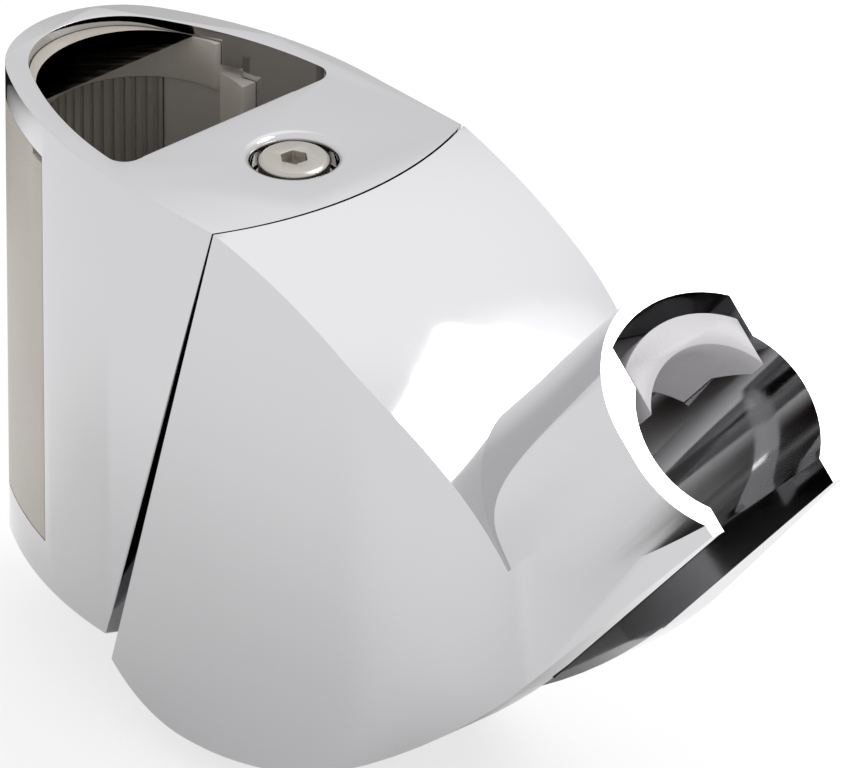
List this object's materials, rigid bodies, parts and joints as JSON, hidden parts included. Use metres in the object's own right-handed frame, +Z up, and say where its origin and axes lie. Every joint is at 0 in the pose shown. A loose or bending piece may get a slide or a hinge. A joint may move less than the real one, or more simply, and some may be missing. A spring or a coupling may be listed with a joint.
{
  "type": "shower rail slider",
  "caption": "Chrome slider for a shower rail with a tilted, slotted socket for a hand shower, braked on the rail by a hinged holder.",
  "frame": {"origin": "on the rail's axis, at half the height of the body", "axes": "+Z up along the rail, +X forward from the rail to the holder, +Y to the holder's left side"},
  "size_m": [0.1306, 0.0398, 0.0803],
  "materials": {
    "chrome": "polished",
    "liner_plastic": "satin",
    "lining_plastic": "matte",
    "light_plastic": "satin",
    "stainless": "satin",
    "rubber": "matte"
  },
  "bodies": {
    "body": {"slider_body": "chrome", "rail_liner": "liner_plastic", "rail_lining": "lining_plastic", "front_guide": "light_plastic", "fixing_screw": "stainless", "screw_washer": "stainless", "pivot_block": "stainless", "hinge_pin": "stainless", "pin_clips": "stainless", "shoe_spring_upper": "stainless", "shoe_spring_lower": "stainless", "buffer": "rubber"},
    "holder": {"holder": "chrome", "arm_bracket": "stainless", "bracket_screws": "stainless", "adjusting_screw": "stainless", "lock_nut": "stainless", "socket_insert": "light_plastic", "hinge_bush_left": "light_plastic", "hinge_bush_right": "light_plastic"},
    "shoe": {"brake_shoe": "lining_plastic", "brake_pad": "rubber"}
  },
  "joints": [
    {"name": "holder_tilt", "type": "hinge", "parent": "body", "child": "holder", "pos_m": [0.0275, 0, 0.01575], "axis": [0, 1, 0], "range_deg": [0, 2], "stiffness_Nm_per_rad": 4, "springref_deg": -5.16},
    {"name": "shoe_slide", "type": "slide", "parent": "body", "child": "shoe", "axis": [-1, 0, 0], "range_m": [0, 0.00088], "deforming": ["shoe_spring_upper", "shoe_spring_lower"]}
  ],
  "couplings": [
    {"joint": "shoe_slide", "follows": "holder_tilt", "m_per_rad": 0.02475}
  ]
}
